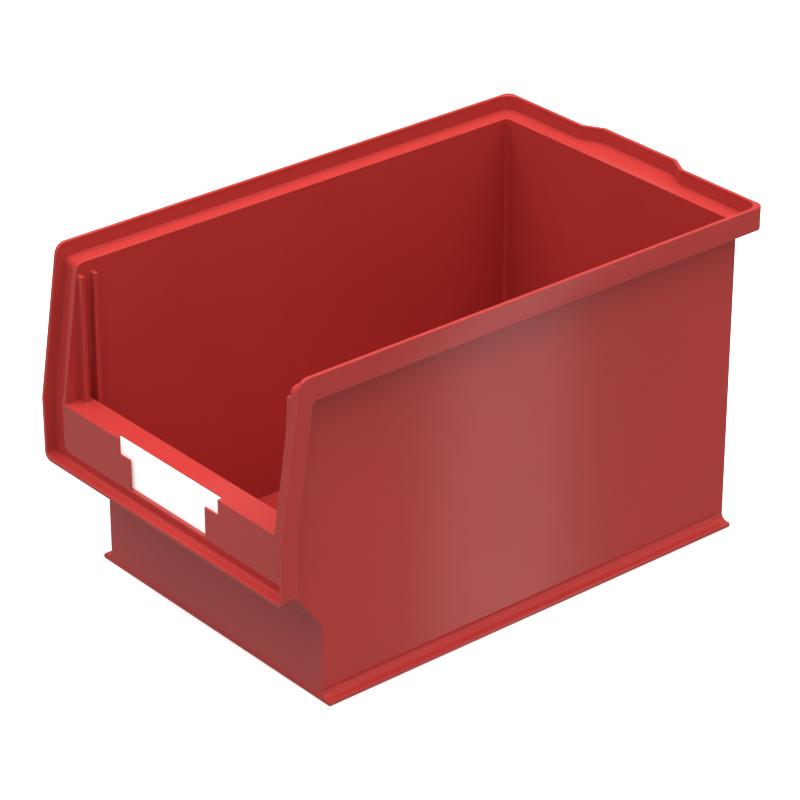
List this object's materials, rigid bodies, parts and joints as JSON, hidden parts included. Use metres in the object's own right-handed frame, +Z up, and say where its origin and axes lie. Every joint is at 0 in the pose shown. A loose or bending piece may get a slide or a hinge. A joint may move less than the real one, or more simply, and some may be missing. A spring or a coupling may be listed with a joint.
{
  "type": "stackable storage bin",
  "caption": "Open-fronted stackable storage bin of red moulded plastic, with a stacking rim, foot rails, pane guides, a hollow front visor and a label card in its front pocket.",
  "frame": {"origin": "on the ground under the middle of the bin's box, with the bin standing on its feet", "axes": "+X to the bin's left-hand side as seen from behind it, which is on the right of someone facing the open front; the open front faces -Y; +Z up"},
  "size_m": [0.21, 0.345, 0.2],
  "materials": {
    "red_plastic": "satin, fine moulded grain",
    "white_card": "matt"
  },
  "bodies": {
    "bin": {"tub": "red_plastic"},
    "label": {"label_card": "white_card"}
  },
  "joints": [
    {"name": "label_slide", "type": "slide", "parent": "bin", "child": "label", "axis": [0, 0, 1], "range_m": [0, 0.03]}
  ]
}
